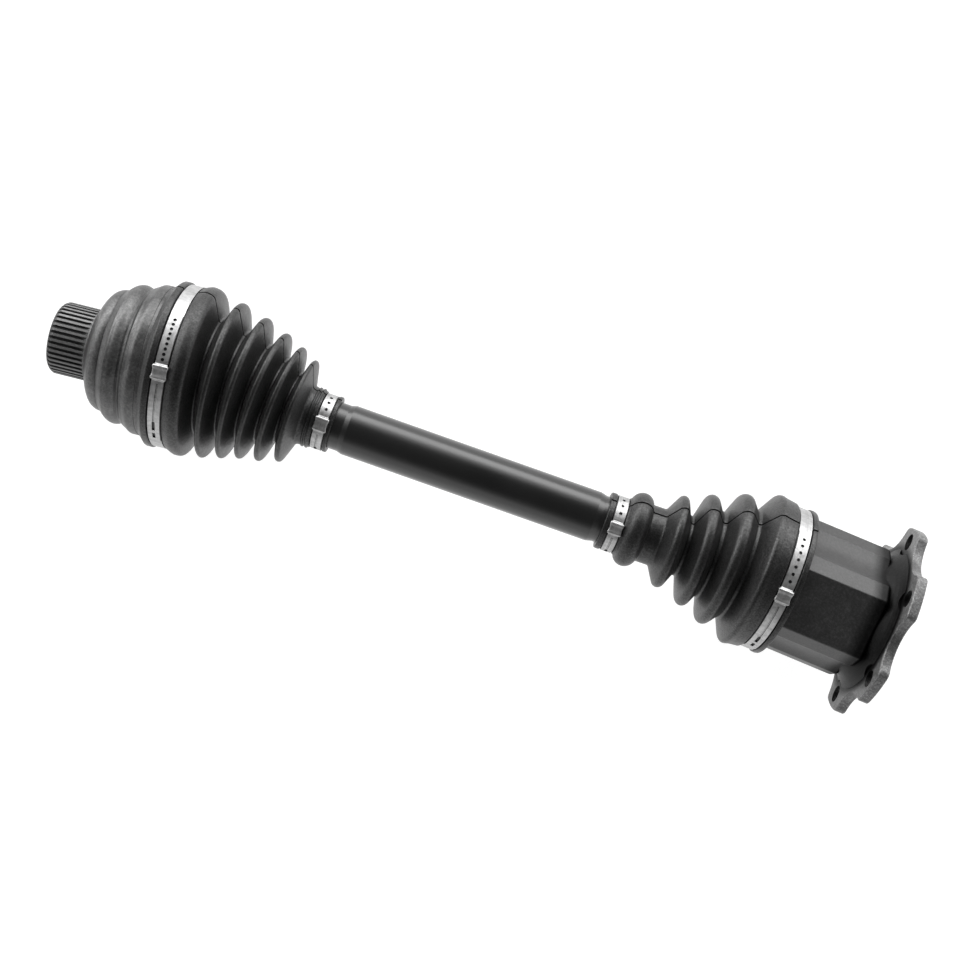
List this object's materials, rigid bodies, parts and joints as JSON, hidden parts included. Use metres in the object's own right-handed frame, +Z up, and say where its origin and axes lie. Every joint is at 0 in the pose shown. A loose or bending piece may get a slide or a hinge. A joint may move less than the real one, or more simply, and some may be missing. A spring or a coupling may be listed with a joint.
{
  "type": "constant-velocity drive axle",
  "caption": "Bent-to-lie drive axle: splined ball joint on one end, sliding tripod joint with a scalloped bolt flange on the other, ribbed bellows with band clamps.",
  "frame": {"origin": "centre of the flange's mating face, on the inner housing's axis", "axes": "+X along the inner housing's axis and out of the flange, away from the shaft; +Z up, so that one flat-crowned lobe of the three-lobed housing faces almost up; the shaft leaves towards -X and slightly towards -Y"},
  "size_m": [0.5549, 0.1389, 0.1242],
  "materials": {
    "forged_housing": "dark satin phosphate with machined flange",
    "phosphated_bell": "matte grey phosphate",
    "painted_shaft": "gloss black",
    "black_rubber": "satin",
    "zinc_band": "bright",
    "bearing_steel": "ground",
    "spring_steel": "blackened",
    "zinc_cover": "plated sheet",
    "washer_nylon": "natural nylon"
  },
  "bodies": {
    "inner_joint": {"inner_housing": "forged_housing", "inner_end_cap": "zinc_cover", "inner_clamp_large": "zinc_band", "inner_boot": "black_rubber"},
    "roller_carriage": {"needles_1": "bearing_steel"},
    "roller_one": {"roller_1": "bearing_steel"},
    "shaft": {"drive_shaft": "painted_shaft", "tripod_spider": "bearing_steel", "needles_2": "bearing_steel", "needles_3": "bearing_steel", "roller_retainers": "spring_steel", "spider_circlip": "spring_steel", "inner_clamp_small": "zinc_band", "outer_clamp_small": "zinc_band", "outer_inner_race": "bearing_steel", "race_circlip": "spring_steel", "thrust_washer": "washer_nylon", "dished_spring": "spring_steel"},
    "roller_two": {"roller_2": "bearing_steel"},
    "roller_three": {"roller_3": "bearing_steel"},
    "cage": {"ball_cage": "bearing_steel", "ball_1": "bearing_steel", "ball_2": "bearing_steel", "ball_3": "bearing_steel", "ball_4": "bearing_steel", "ball_5": "bearing_steel", "ball_6": "bearing_steel"},
    "outer_gaiter": {"outer_boot": "black_rubber"},
    "outer_joint": {"outer_bell": "phosphated_bell", "outer_clamp_large": "zinc_band"}
  },
  "joints": [
    {"name": "inner_plunge", "type": "slide", "parent": "inner_joint", "child": "roller_carriage", "axis": [1, 0, 0], "range_m": [-0.012, 0.014], "deforming": ["inner_boot"]},
    {"name": "inner_bend", "type": "hinge", "parent": "roller_carriage", "child": "shaft", "pos_m": [-0.0502, 0, 0], "axis": [0.0101, -0.1751, 0.9845], "range_deg": [-21.8, 15.2], "deforming": ["inner_boot"]},
    {"name": "roller_1_spin", "type": "hinge", "parent": "roller_carriage", "child": "roller_one", "pos_m": [-0.04992, -0.00481, 0.02707], "axis": [0.0101, -0.1751, 0.9845], "range_deg": [-60, 60]},
    {"name": "roller_2_spin", "type": "hinge", "parent": "shaft", "child": "roller_two", "pos_m": [-0.04899, -0.021, -0.01771], "axis": [0.044, -0.7637, -0.6441], "range_deg": [-60, 60]},
    {"name": "roller_3_spin", "type": "hinge", "parent": "shaft", "child": "roller_three", "pos_m": [-0.05169, 0.02582, -0.00936], "axis": [-0.0541, 0.9387, -0.3404], "range_deg": [-60, 60]},
    {"name": "cage_steer", "type": "hinge", "parent": "shaft", "child": "cage", "pos_m": [-0.49526, -0.02566, 0], "axis": [0, 0, 1], "range_deg": [-23.7, 18.3]},
    {"name": "outer_steer", "type": "hinge", "parent": "cage", "child": "outer_gaiter", "pos_m": [-0.49526, -0.02566, 0], "axis": [0, 0, 1], "range_deg": [-23.7, 18.3], "deforming": ["outer_boot"]},
    {"name": "outer_swing", "type": "hinge", "parent": "outer_gaiter", "child": "outer_joint", "pos_m": [-0.49526, -0.02566, 0], "axis": [-0.1513, 0.9885, 0], "range_deg": [-8.5, 8.5], "deforming": ["outer_boot"]}
  ],
  "couplings": [
    {"joint": "roller_1_spin", "follows": "inner_plunge", "rad_per_m": -62.5},
    {"joint": "roller_2_spin", "follows": "inner_plunge", "rad_per_m": -62.5},
    {"joint": "roller_3_spin", "follows": "inner_plunge", "rad_per_m": -62.5},
    {"joint": "cage_steer", "follows": "outer_steer", "ratio": 1}
  ]
}
